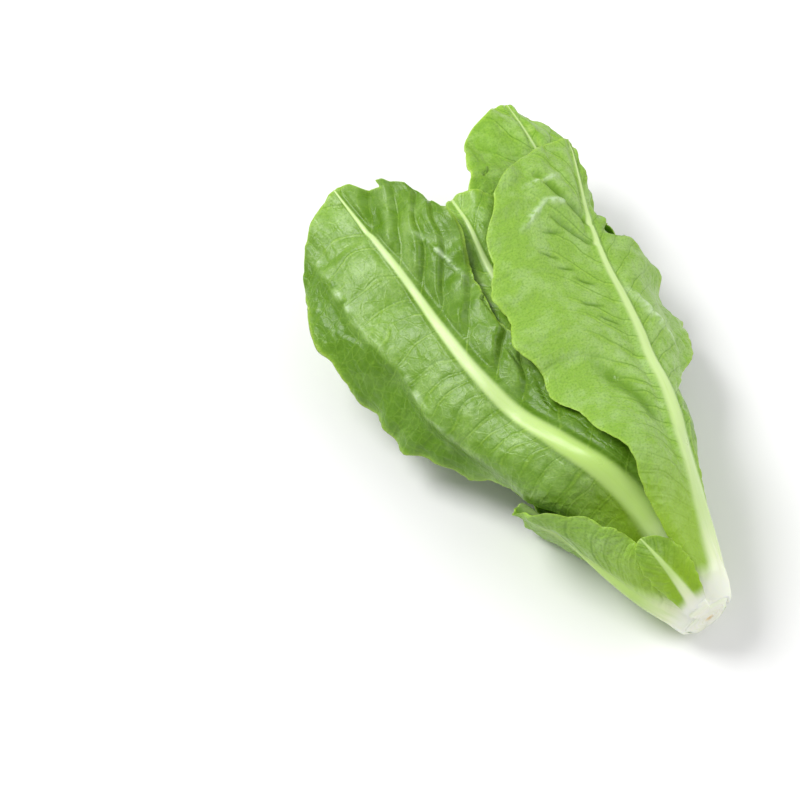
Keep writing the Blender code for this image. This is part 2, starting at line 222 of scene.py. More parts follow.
def layLeaf(leaf, outside):
    # a sheet radius = f(turn, height): the larger, softly joined, of the leaf's own free shape and of
    # everything inside it. Keeps the leaf's rings, and adds its outer face to what is outside.
    along = np.linspace(0, leaf["length"], 240)
    u = along / leaf["length"]
    lean = np.interp(u, head["leanAt"], leaf["lean"]) * leaf["spread"]
    lean = np.radians(lean + leaf["curl"] * smoothStep((u - 0.72) / 0.28))
    ribHeight = leaf["foot"] + np.concatenate([[0], np.cumsum(np.cos(lean[:-1])) * along[1]])
    ribRadius = stemRadiusAt(leaf["foot"]) + np.concatenate([[0], np.cumsum(np.sin(lean[:-1])) * along[1]])

    q = np.interp(ringHeights, ribHeight, along)
    u = q / leaf["length"]
    present = (ringHeights >= leaf["foot"]) & (ringHeights <= ribHeight[-1])
    free = np.interp(ringHeights, ribHeight, ribRadius)[:, None]
    drift = leaf["swing"] * u**1.5 + leaf["sway"] * np.sin(math.pi * u)
    ribAngle = np.radians(leaf["turn"] + drift)[:, None]
    turn = np.linspace(-math.pi, math.pi, head["turnSteps"] + 1)[None, :]
    angle = ribAngle + turn
    wide, up = layDown(angle, ringHeights[:, None])
    scale = np.hypot(wide, up)

    near, far = spreadOver(outside, head["closeReach"]), spreadOver(outside, head["farReach"])
    below = near + (far - near) * smoothStep((ringHeights - 0.035) / 0.075)[:, None]
    resting = np.array([np.interp(a, ringAngles, row, period=circle) for a, row in zip(angle, below)])
    looseness = smoothStep((q - 0.01) / 0.06)[:, None]
    resting = resting + (head["snugGap"] + (head["looseGap"] - head["snugGap"]) * looseness) / scale

    minus, plus = sideShares(leaf, u)
    width = halfWidth(leaf, u)[:, None] * np.where(turn < 0, minus[:, None], plus[:, None])
    v = turn * free / width
    minus, plus = [np.interp(u, head["openAt"], np.ones(7) * side)[:, None] for side in leaf["open"]]
    opening = np.where(turn < 0, minus, plus) * smoothStep(u / 0.3)[:, None]
    ruffle = np.sin(circle * (leaf["waves"] * u[:, None] + leaf["phase"]) + 1.4 * np.sign(v))
    ruffle = ruffle * np.clip(np.abs(v), 0, 1.2) ** 2.2 * smoothStep((u[:, None] - 0.12) / 0.2)
    shaped = free * (1 + opening * np.clip(turn, -1.4, 1.4) ** 2) + leaf["wave"] * ruffle / scale
    softness = 0.0004 + 0.003 * looseness
    lift = shaped - resting
    inner = resting + 0.5 * (lift + np.sqrt(lift**2 + softness**2)) - 0.5 * softness * (1 - looseness)

    step = np.hypot(np.diff(wide * inner, axis=1), np.diff(up * inner, axis=1))
    across = np.concatenate([np.zeros((len(ringHeights), 1)), np.cumsum(step, axis=1)], axis=1)
    across = across - across[:, head["turnSteps"] // 2][:, None]
    outer = inner + thickness(leaf, across, u[:, None]) / scale

    covered = (np.abs(across) <= width * 1.02) & present[:, None]
    leaf["floor"] = outside.copy()
    leaf["innerHere"] = np.full(outside.shape, 1.0)
    for k in np.flatnonzero(present):
        there = np.mod(angle[k][:-1], circle)
        outside[k] = np.maximum(outside[k], np.interp(ringAngles, there, np.where(covered[k], outer[k], 0.0)[:-1],
                                                      period=circle))
        uncovered = np.interp(ringAngles, there, np.where(covered[k], 0.0, 1.0)[:-1], period=circle)
        innerThere = np.interp(ringAngles, there, inner[k][:-1], period=circle)
        leaf["innerHere"][k] = np.where(uncovered > 0.5, 1.0, innerThere)
    leaf.update(turns=turn[0], ribAngle=ribAngle[:, 0], across=across, inner=inner, outer=outer,
                ribHeight=ribHeight, along=along, ringU=u)


def placed(angle, y, radius):
    # the laid head: across = wide cos(angle) r, up = height of the axis + rise sin(angle) r, never below 0
    wide, up = layDown(angle, y)
    z = up * radius + np.interp(y, ringHeights, head["axis"])
    return np.stack([wide * radius - head["middle"][0], y - head["middle"][1], np.maximum(z, 0.0)], axis=-1)


# The leaves, from the outermost inwards

basalLeaf = dict(
    plainLeaf, name="basal_leaf", turn=118, foot=0.0016, length=0.039, half=0.012, spread=0.9, swing=8,
    open=(0.05, 0.05), wave=0.0006, waves=2, phase=0.1, curl=-6, footShare=0.6, widest=0.5,
    rows=90, columns=60, veinSpacing=(0.004, 0.006), pillow=0.0002, quilt=0.0001, swell=0.0002,
    ribFlare=0, footScale=2.1, footRound=(0.25, 0.012), ribMask=0.7, tone=0.55,
    frill=0.0006, frillLength=0.009, tooth=0.0005, corner=0.16, seed=11)

leftLeaf = dict(
    plainLeaf, name="outer_leaf_left", nudge=-1, length=0.11, half=0.042, swing=20, open=(0.02, 0.02),
    sides=(0.84, 1), wave=0.0016, phase=0.2, footShare=0.52, widest=0.34,
    lean=(36, 35, 26, 16, 9, 4, 2), rows=260, columns=170, veinSpacing=(0.006, 0.01),
    pillow=0.0006, frill=0.0016, frillLength=0.013, tooth=0.0019, tone=0.88, ribMask=1.5,
    ribLeast=0.0072, limeRib=0.9, footScale=1.3, seed=12)

rightLeaf = dict(
    plainLeaf, name="outer_leaf_right", nudge=-1, length=0.285, half=0.065, swing=-15, sway=9,
    open=((0, -0.1, -0.1, 0.42, 0.38, 0.05, -0.45), 0.08),
    sides=((0.5, 0.3, 0.26, 0.74, 0.96, 0.72, 0.22, 0.14), 1.14),
    phase=0.7, footShare=0.29, tipShare=0.62, arch=0.05, lean=(26, 20, 14, 17, 21, 18, 13),
    rows=300, columns=160, veinSpacing=(0.0085, 0.017), veinRise=(0.9, 1.15), veinBend=(8, 10),
    pleat=(0.0006, 0.001), pillow=0.001, swell=0.0028, tone=(0.8, 0.85), ribMask=0.62, limeRib=0, seed=13,
    dents=((0.224, 0, 0.262, 0.032, 0.0034, 0.0017), (0.209, 0, 0.233, 0.026, 0.0028, 0.0015),
           (0.222, 0.021, 0.226, 0.034, 0.001, 0.001), (0.207, 0.027, 0.213, 0.039, 0.001, 0.001),
           (0.197, 0.019, 0.201, 0.031, 0.001, 0.001), (0.183, 0.011, 0.191, 0.022, 0.0012, 0.0011),
           (0.168, 0.014, 0.174, 0.027, 0.001, 0.001), (0.154, 0.008, 0.162, 0.02, 0.001, 0.001),
           (0.23, 0.047, 0.242, 0.03, -0.0012, 0.002), (0.242, 0.03, 0.24, 0.012, -0.0012, 0.0018),
           (0.255, 0.04, 0.258, 0.016, -0.001, 0.0018), (0.174, -0.006, 0.136, -0.028, -0.002, 0.0024),
           (0.136, 0.035, 0.108, 0.021, 0.0022, 0.0045), (0.112, 0.022, 0.086, 0.012, 0.002, 0.0038)))

underLeaf = dict(
    plainLeaf, name="outer_leaf_back", length=0.27, half=0.064, open=(0.1, 0.1), wave=0.004, waves=4.5,
    phase=0.4, curl=4, seed=14)

frontLeaf = dict(
    plainLeaf, name="front_leaf", nudge=-28, length=0.307, half=0.07, swing=10, sway=4, open=(0.1, 0.18),
    sides=((0.68, 0.68, 0.6, 0.46, 0.38, 0.43, 0.59, 0.96), 1), wave=0.0036,
    footShare=0.31, widest=0.62, lean=(22, 15, 15, 25, 15, 5, 2), rows=300, columns=160,
    veinSpacing=((0.02, 0.0085), (0.028, 0.019)), veinRise=(1.05, 0.72), veinBend=(-4, 21.5),
    pleat=(0.0046, 0.0004), crease=(1, 0.034, 0.004), tone=(0.26, 0.42), paintedShadeBelow=(0.15, 0.9),
    limeRib=1.0, ribMask=0.7, seed=15,
    dents=((0.262, -0.006, 0.285, -0.012, 0.0016, 0.0035), (0.214, -0.026, 0.25, -0.02, -0.0012, 0.0014)),
    tip=((-1, 0.0165), (-0.97, 0.013), (-0.93, 0.01), (-0.88, 0.0095), (-0.84, -0.002), (-0.76, -0.006),
         (-0.66, -0.005), (-0.6, 0.005), (-0.38, 0.006), (-0.3, 0.0005), (0, 0.0005), (1, 0)))

sideLeaf = dict(
    plainLeaf, name="side_leaf_right", nudge=-12, length=0.235, half=0.05, spread=0.72, swing=-6,
    open=(0.05, 0.05), wave=0.0035, waves=4.5, phase=0.5, corner=0.16,
    tip=((-1, 0.03), (1, 0.03)), seed=16)

backLeftLeaf = dict(
    plainLeaf, name="back_leaf_left", nudge=4, length=0.27, half=0.062, spread=0.9, swing=-8,
    open=(0.1, 0.1), wave=0.004, waves=4.5, phase=0.9, curl=6, seed=17)

middleFrontLeaf = dict(
    plainLeaf, name="middle_leaf_front", kind="middle_leaf", nudge=16, length=0.25, half=0.05, spread=0.8,
    swing=-13, open=(0.05, 0.05), phase=0.3, curl=2, rows=220, columns=120, seed=18)

backRightLeaf = dict(
    plainLeaf, name="back_leaf_right", kind="middle_leaf", nudge=4, length=0.258, half=0.056, spread=0.8,
    swing=6, open=(0.06, 0.06), wave=0.0035, waves=4.5, phase=0.6, curl=4,
    tip=((-1, 0.01), (1, 0.01)), seed=19)

middleLeftLeaf = dict(
    plainLeaf, name="middle_leaf_left", kind="middle_leaf", length=0.255, half=0.052, spread=0.72, swing=-6,
    open=(0.05, 0.05), wave=0.0035, waves=4.5, phase=0.1, curl=2, seed=20)

tallLeaf = dict(
    plainLeaf, name="tall_leaf", kind="middle_leaf", nudge=9, length=0.298, half=0.058, open=(0, 0.05),
    sides=(0.62, 1.05), phase=0.8, curl=2, tipShare=0.56, arch=0.06,
    rows=240, columns=120, tone=0.62, ribMask=0.5, limeRib=0.2, swell=0.0024, seed=21)

heartBackLeaf = dict(
    plainLeaf, name="heart_leaf_back", kind="heart_leaf", length=0.23, half=0.044, spread=0.5, wave=0.0025,
    waves=4.5, phase=0.4, seed=22)

heartFrontLeaf = dict(
    plainLeaf, name="heart_leaf_front", kind="heart_leaf", length=0.2, half=0.036, spread=0.36, wave=0.002,
    phase=0.7, curl=-4, seed=23)

heartInnerLeaf = dict(
    plainLeaf, name="heart_leaf_inner", kind="heart_leaf", length=0.16, half=0.026, spread=0.2, wave=0.0015,
    phase=0.2, curl=-4, seed=24)

leaves = [basalLeaf, leftLeaf, rightLeaf, underLeaf, frontLeaf, sideLeaf, backLeftLeaf, middleFrontLeaf,
          backRightLeaf, middleLeftLeaf, tallLeaf, heartBackLeaf, heartFrontLeaf, heartInnerLeaf]

for n, leaf in enumerate(leaves):
    if leaf["turn"] is None:
        leaf["turn"] = head["firstTurn"] - head["goldenAngle"] * (n - 1) + leaf["nudge"]
        leaf["foot"] = head["firstFoot"] + head["footStep"] * (n - 1)

outside = np.repeat((stemRadiusAt(ringHeights) + head["stemGap"] - head["snugGap"])[:, None], head["turnSteps"], 1)
outside = np.clip(outside, 0.0012, None)
for leaf in reversed(leaves):
    layLeaf(leaf, outside)

# the axis stands as high as its lowest leaves hang
depth = np.max(-layDown(ringAngles[None, :], ringHeights[:, None])[1] * outside, axis=1)
depth = np.maximum(depth, stemRadiusAt(0.0))[:, None]
depth = spreadOver(np.repeat(depth, 3, axis=1), (0, 8))[:, 0]
level = np.interp(head["axisLevelFrom"], ringHeights, depth)
head["axis"] = np.where(ringHeights > head["axisLevelFrom"], np.maximum(depth, level), depth) - head["pressed"]

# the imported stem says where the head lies
stemLow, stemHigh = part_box("stem")
head["middle"] = (-(stemLow.x + stemHigh.x) / 2, -stemLow.y)

# room over each leaf, under the ones that lie on it
ceiling = np.full(outside.shape, 1.0)
for leaf in leaves:
    low = ceiling
    for axis in (0, 1):
        low = np.minimum.reduce([shift(low, k, axis) for k in range(-3, 4)])
    leaf["ceiling"] = low
    ceiling = np.minimum(ceiling, leaf["innerHere"])
print("leaves laid:", len(leaves))


def leafGrid(leaf):
    # rows u from foot to tip and columns v across, both eased towards the foot and the rib
    u = np.linspace(0, 1, leaf["rows"])[:, None] ** 1.12
    w = np.linspace(-1, 1, leaf["columns"])[None, :]
    v = np.sign(w) * np.abs(w) ** 1.15
    return u * np.ones_like(v), v * np.ones_like(u)


def teeth(p, leaf, seed):
    # uneven bites out of the margin: one less the root of |sine|, sharp between the bites
    p = p + 0.004 * softNoise(p, 0 * p, 0.03, seed)
    bites = 1 - np.sqrt(np.abs(np.sin(math.pi * p / 0.0085)))
    return leaf["tooth"] * (bites * (0.6 + 0.5 * softNoise(p, 0 * p, 0.05, seed + 1)) - 0.3)


def bySide(t, value):
    # the value of the - or + side of the rib, from one number or a pair
    return np.where(t < 0, *value) if isinstance(value, tuple) else np.full(np.shape(t), float(value))


def sideVeins(leaf, s, t, u):
    # how many side veins start below the point, where each climbs rise x - bend x^2 from the rib
    x = np.abs(t)
    rise, bend = bySide(t, leaf["veinRise"]), bySide(t, leaf["veinBend"])
    turnOver = 0.62 * rise / np.maximum(bend, 0.6)
    beyond = np.maximum(x - turnOver, 0)
    x = np.minimum(x, turnOver)
    climb = rise * x - bend * x**2 + (rise - 2 * bend * turnOver) * beyond
    start = s - climb * (0.75 + 0.9 * u**2) + 0.0026 * softNoise(s, t, 0.04, leaf["seed"] + 2)
    start = start + 0.0007 * softNoise(s, t, 0.013, leaf["seed"] + 4)
    count, spacing = 0, 0
    for side in (0, 1):
        draw = np.random.default_rng(leaf["seed"] * 10 + 2 * side - 1)
        low, high = [gap[side] if isinstance(gap, tuple) else gap for gap in leaf["veinSpacing"]]
        places = [-0.1 + 0.004 * side]
        while places[-1] < leaf["length"] + 0.1:
            share = min(max(places[-1] / leaf["length"], 0), 1)
            places.append(places[-1] + (low + (high - low) * share**1.3) * (0.72 + 0.56 * draw.random()))
        places = np.array(places)
        here = (t < 0) == (side == 0)
        number = np.interp(start, places, np.arange(len(places)))
        count = count + np.where(here, number, 0)
        gaps = np.interp(number, np.arange(len(places) - 1) + 0.5, np.diff(places))
        spacing = spacing + np.where(here, gaps, 0)
    return count, spacing


def addPiece(name, mesh, finish, values):
    # an object at the origin, with its values at each point of the mesh
    for key, value in values.items():
        mesh.attributes.new(key, "FLOAT", "POINT").data.foreach_set("value", value.astype(np.float32).ravel())
    mesh.validate()
    mesh.shade_smooth()
    mesh.materials.append(finish)
    piece = bpy.data.objects.new(name, mesh)
    bpy.context.scene.collection.objects.link(piece)
    return piece


def takePlace(piece, node):
    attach(piece, "root")
    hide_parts(node)


def meshPiece(name, points, faces, finish, values, flat):
    # one mesh of quads, with its values at each point and its map across and along the surface
    mesh = bpy.data.meshes.new(name)
    mesh.vertices.add(len(points))
    mesh.vertices.foreach_set("co", points.astype(np.float32).ravel())
    mesh.loops.add(faces.size)
    mesh.loops.foreach_set("vertex_index", faces.ravel().astype(np.int32))
    mesh.polygons.add(len(faces))
    mesh.polygons.foreach_set("loop_start", np.arange(0, faces.size, 4, dtype=np.int32))
    mesh.update(calc_edges=True)
    mapLayer = mesh.uv_layers.new(name="surfaceMap")
    mapLayer.data.foreach_set("uv", flat[faces.ravel()].astype(np.float32).ravel())
    return addPiece(name, mesh, finish, values)


def gridFaces(rows, columns):
    # outer face, inner face turned over, and the edge that joins them
    count = rows * columns
    grid = np.arange(count).reshape(rows, columns)
    outer = np.stack([grid[:-1, :-1], grid[1:, :-1], grid[1:, 1:], grid[:-1, 1:]], -1).reshape(-1, 4)
    rim = np.concatenate([grid[0, :-1], grid[:-1, -1], grid[-1, :0:-1], grid[:0:-1, 0]])
    after = np.roll(rim, -1)
    edge = np.stack([rim, after, after + count, rim + count], 1)
    return np.concatenate([outer, outer[:, ::-1] + count, edge])


def makeLeaf(leaf, finish):
    # outer and inner face = the laid sheet's radii at (height, turn), moved within the room between its
    # neighbours by the swells, pleats and folds, then along the surface's normal by the fine relief
    u, v = leafGrid(leaf)
    rows, columns = u.shape
    seed = leaf["seed"]

    # distance along the rib: rounded corners, the tip's own edge, and teeth
    off = sum(np.interp(v + k, *zip(*leaf["tip"])) for k in (-0.015, 0.0, 0.015)) / 3
    off = off + teeth(v * leaf["half"] * leaf["tipShare"], leaf, seed + 40)
    q = leaf["length"] * u * (1 - leaf["arch"] * v**2 * u**3 - leaf["corner"] * np.abs(v) ** 7 * u**9)
    q = q - off * smoothStep((u - 0.9) / 0.1)
    y = np.interp(q, leaf["along"], leaf["ribHeight"])
    if leaf["foot"] < surface["lowFoot"]:
        y = y - (leaf["foot"] - surface["cutHeight"]) * (1 - smoothStep(q / surface["lowFoot"]))

    # distance across, then the turn round the stem that lies so far from the rib in its ring
    margin = teeth(q + 0.3 * np.sign(v), leaf, seed + 50) * smoothStep((u - 0.06) / 0.1)
    vLine = v[0][None, :]
    minus, plus = sideShares(leaf, leaf["ringU"])
    reach = halfWidth(leaf, leaf["ringU"])[:, None] * vLine * np.where(vLine < 0, minus[:, None], plus[:, None])
    turnAt = np.array([np.interp(p, a, leaf["turns"]) for p, a in zip(reach, leaf["across"])])
    ringRow = (y - ringHeights[0]) / head["ringStep"]
    column = np.broadcast_to(np.arange(columns)[None, :], u.shape).astype(float)
    turn = lookUp(turnAt, ringRow, column)
    t = lookUp(reach, ringRow, column)
    shorter = 1 - margin * np.abs(v) ** 12 / np.maximum(np.abs(t), 0.004)
    turn, t = turn * shorter, t * shorter
    turnColumn = (turn + math.pi) / (circle / head["turnSteps"])
    inner = lookUp(leaf["inner"], ringRow, turnColumn)
    outer = lookUp(leaf["outer"], ringRow, turnColumn)
    least, length = leaf["footRound"]
    outer = inner + (outer - inner) * (least + (1 - least) * np.sqrt(np.clip(q / length, 0, 1)))
    angle = turn + np.interp(y, ringHeights, leaf["ribAngle"])

    # how far the blade may move in and out before it meets its neighbours
    wide, up = layDown(angle, y)
    scale = np.hypot(wide, up)
    fixedColumn = np.mod(angle, circle) / (circle / head["turnSteps"])
    above = (lookUp(leaf["ceiling"], ringRow, fixedColumn, True) - outer) * scale - surface["keepClear"]
    below = (inner - lookUp(leaf["floor"], ringRow, fixedColumn, True)) * scale - surface["keepClear"]
    above, below = [np.clip(room, surface["leastRoom"], None) for room in (above, below)]

    def within(move):
        # move / (1 + move / room), so it never passes the room there is
        return np.where(move > 0, move / (1 + np.maximum(move, 0) / above), move / (1 + np.maximum(-move, 0) / below))

    # broad swells and the ruffled margin move the whole blade
    far = np.abs(v)
    frill = np.sin(circle * (q / leaf["frillLength"] + 0.8 * softNoise(q, 0 * q, 0.08, seed + 6)
                             + 0.37 * np.sign(v)) + 1.1 * far)
    frill = frill * (0.7 + 0.5 * softNoise(q, v * 0.02, 0.06, seed + 7)) * far**3.2 * smoothStep((u - 0.15) / 0.35)
    tipFrill = np.sin(circle * t / (leaf["frillLength"] * 1.1) + seed) * smoothStep((u - 0.8) / 0.2) ** 1.5
    swell = leaf["swell"] * softNoise(q, t, 0.055, seed + 3) * smoothStep((u - 0.08) / 0.25)
    swell = swell * smoothStep(np.abs(t) / (2.2 * ribHalfWidth(leaf, u)))
    # pleats step up at each side vein, and a crease bends the blade down beyond a line along it
    ribEdge = ribHalfWidth(leaf, np.clip(q / leaf["length"], 0, 1))
    blade = smoothStep((np.abs(t) / ribEdge - 0.85) / 0.7) * smoothStep((u - 0.05) / 0.14)
    count, spacing = sideVeins(leaf, q, t, u)
    whole = np.mod(count, 1)
    band = np.mod(np.sin(np.floor(count + 1e-6) * 78.233 + seed + np.sign(v)) * 4375.85, 1)
    pleat = bySide(v, leaf["pleat"]) * (smoothStep(whole / 0.25) * (1 - whole) - 0.1)
    pleat = pleat * smoothStep((np.abs(t) / ribEdge - 1.0) / 1.6) * smoothStep((u - 0.25) / 0.25)
    dent, paintedShadeAndHighlight = 0 * q, 0 * q
    # each dent also paints shade in its hollow, and each ridge a highlight along it, stronger where it is narrow
    for s0, t0, s1, t1, depth, half in leaf["dents"]:
        alongLine = np.clip(((q - s0) * (s1 - s0) + (t - t0) * (t1 - t0)) / ((s1 - s0)**2 + (t1 - t0)**2), 0, 1)
        offLine = np.hypot(q - s0 - alongLine * (s1 - s0), t - t0 - alongLine * (t1 - t0))
        there = np.exp(-(offLine / half) ** 2) * (0.35 + 2.6 * alongLine * (1 - alongLine))
        dent = dent - depth * there
        paintedShadeAndHighlight = paintedShadeAndHighlight - np.sign(depth) * there * min(1, 0.0028 / half)
    fold = 0
    if leaf["crease"]:
        foldSide, foldAt, foldDrop = leaf["crease"]
        wander = foldAt + 0.002 * softNoise(q, 0 * q, 0.07, seed + 8)
        fold = -foldDrop * smoothStep((t * foldSide - wander) / 0.011) * smoothStep((u - 0.32) / 0.2)
        foldLine = np.exp(-((t * foldSide - wander + 0.001) / 0.0017) ** 2) * smoothStep((u - 0.36) / 0.2)
        fold = fold + 0.0009 * foldLine
        # painted highlight along the fold line, broken up by noise
        paintedShadeAndHighlight = paintedShadeAndHighlight + foldLine * (0.15 + 0.7 * softNoise(q, t, 0.012, seed + 9))
    move = within(swell + pleat + fold + dent + leaf["frill"] * (frill + 0.6 * tipFrill)) / scale
    inner, outer = inner + move, outer + move

    # pillows between the side veins, each split by small cross veins, and the net within them
    dome = 1 - (2 * whole - 1) ** 2
    nearRib = 1 - 0.55 * smoothStep((np.abs(t) - 0.018) / 0.016)
    crossVeins = np.abs(t) / (spacing * 1.25) + np.mod(np.sin(np.floor(count) * 12.9898 + seed) * 43758.5, 1)
    crossDome = 1 - (2 * np.mod(crossVeins, 1) - 1) ** 2
    pillowTop = np.sqrt(dome) * (0.62 + 0.38 * crossDome)
    pillow = leaf["pillow"] * (pillowTop - 0.35) * np.sqrt(spacing / 0.014) * nearRib * (0.5 + 0.8 * band)
    nearest, following = cells(count * 1.6, np.abs(t) / 0.0065 + 0.4 * count, seed)
    net = smoothStep((following - nearest) / 0.55)
    relief = (pillow + leaf["quilt"] * (net - 0.5) * (0.5 + far)) * blade
    furrow = np.exp(-((np.abs(t) - 1.1 * ribEdge) / surface["furrowWidth"]) ** 2)
    relief = relief - surface["furrowDepth"] * furrow * smoothStep((u - 0.08) / 0.2)
    veinAway = np.minimum(whole, 1 - whole) * spacing
    veinWidth = surface["veinWidth"] * (1.2 - 0.55 * far) * (1.15 - 0.4 * u)
    ridge = surface["veinHeight"] * np.exp(-(veinAway / veinWidth) ** 2) * blade * (1 - 0.6 * far)
    mid = placed(angle, y, (inner + outer) / 2)
    normal = np.cross(np.gradient(mid, axis=1), np.gradient(mid, axis=0))
    normal = blur(normal / np.maximum(np.linalg.norm(normal, axis=2, keepdims=True), 1e-9), 2)
    normal = normal / np.maximum(np.linalg.norm(normal, axis=2, keepdims=True), 1e-9)

    outerPoints, innerPoints = placed(angle, y, outer), placed(angle, y, inner)
    facing = np.sign(np.sum(normal * (outerPoints - innerPoints)))
    normal = normal * facing
    thin = 0.5 * (surface["thinMargin"] * far**10 + surface["thinBlade"])
    outerPoints = outerPoints + (within(relief + ridge) - thin * far)[..., None] * normal
    innerPoints = innerPoints + (within(relief) * 0.9 + thin * far)[..., None] * normal
    outerPoints[..., 2] = np.maximum(outerPoints[..., 2], 0.0)
    innerPoints[..., 2] = np.maximum(innerPoints[..., 2], 0.0006)

    ribPaint = ribEdge * bySide(v, leaf["ribMask"]) * (1.15 - 0.55 * u + leaf["ribFlare"] * np.exp(-q / 0.03))
    rib = np.exp(-(np.abs(t) / np.maximum(ribPaint, leaf["ribLeast"])) ** 6)
    tone = bySide(v, leaf["tone"])
    if leaf["crease"]:
        # painted shade on the blade beyond the crease
        tone = tone - 0.45 * smoothStep((t * foldSide - wander) / 0.006) * smoothStep((u - 0.3) / 0.2)
    # painted shade on the - half towards the foot
    if leaf["paintedShadeBelow"]:
        shadeFrom, shadeBy = leaf["paintedShadeBelow"]
        tone = tone - shadeBy * smoothStep((shadeFrom - q) / 0.045) * (v < 0)
    fromEdge = np.minimum((1 - far) * np.abs(reach).max() * 0.9, (1 - u) * leaf["length"])
    # tone takes painted shade from the dents; pillowTop takes painted highlight from ridges and the fold line, and
    # shade from dents; two more values carry painted highlight on ridges and painted shade in dent hollows
    values = dict(
        rib=rib, along=q * leaf["footScale"], veinCount=count, veinGap=spacing, awayFromRib=np.abs(t),
        margin=np.exp(-fromEdge / 0.0014), tone=tone + 0.5 * np.clip(paintedShadeAndHighlight, -1, 0), reachShare=far,
        pillowTop=np.clip(pillowTop * (0.4 + 0.6 * band) + paintedShadeAndHighlight, 0, 1), paintedHighlight=np.clip(paintedShadeAndHighlight, 0, 1),
        paintedHollowShade=np.clip(-paintedShadeAndHighlight, 0, 1), limeRib=np.full(q.shape, leaf["limeRib"]))
    values = {key: np.concatenate([value.ravel(), value.ravel()]) for key, value in values.items()}
    flat = np.stack([t * 10, q * 10], axis=-1).reshape(-1, 2)
    points = np.concatenate([outerPoints.reshape(-1, 3), innerPoints.reshape(-1, 3)])
    piece = meshPiece(leaf["name"] + "_grown", points, gridFaces(rows, columns), finish, values,
                      np.concatenate([flat, flat]))
    takePlace(piece, leaf["name"])


# Finishes

def addGroup(name, inputs, outputs):
    group = bpy.data.node_groups.new(name, "ShaderNodeTree")
    for label, kind, value in inputs:
        group.interface.new_socket(name=label, in_out="INPUT", socket_type=kind).default_value = value
    for label, kind in outputs:
        group.interface.new_socket(name=label, in_out="OUTPUT", socket_type=kind)
    return group, group.nodes.new("NodeGroupInput"), group.nodes.new("NodeGroupOutput")


def wire(tree, node, **links):
    # joins sockets or sets plain values, by the input's name with underscores for spaces
    for key, value in links.items():
        byNumber = key[0] == "n" and key[1:].isdigit()
        socket = node.inputs[int(key[1:]) if byNumber else key.replace("_", " ")]
        if isinstance(value, bpy.types.NodeSocket):
            tree.links.new(value, socket)
        else:
            socket.default_value = value
    return node


def addNode(tree, kind, setting=None, **links):
    # a node with its one setting, if it has any, and its inputs joined or set
    node = tree.nodes.new("ShaderNode" + kind)
    if setting:
        setattr(node, *setting)
    return wire(tree, node, **links)


def maths(tree, operation, a, b=0.0, c=None):
    node = addNode(tree, "Math", ("operation", operation), n0=a, n1=b)
    if c is not None:
        wire(tree, node, n2=c)
    return node.outputs[0]


def times(tree, a, b):
    return maths(tree, "MULTIPLY", a, b)


def timesPlus(tree, a, b, c):
    return maths(tree, "MULTIPLY_ADD", a, b, c)


def ramp(tree, value, low, high, bottom=0.0, top=1.0):
    # smooth step of a value between low and high
    node = addNode(tree, "MapRange", ("interpolation_type", "SMOOTHSTEP"),
                   Value=value, From_Min=low, From_Max=high, To_Min=bottom, To_Max=top)
    return node.outputs["Result"]


def mixColours(tree, share, a, b):
    return addNode(tree, "Mix", ("data_type", "RGBA"), n0=share, n6=a, n7=b).outputs[2]


def attribute(tree, name):
    return addNode(tree, "Attribute", ("attribute_name", name)).outputs["Fac"]


def noise(tree, where, scale, detail=3.0, roughness=0.55):
    return addNode(tree, "TexNoise", Vector=where, Scale=scale, Detail=detail, Roughness=roughness).outputs[0]


tissueColours = ("Blade", "Deep Blade", "Bloom And Sheen", "Rib", "Foot", "Edge", "Base")


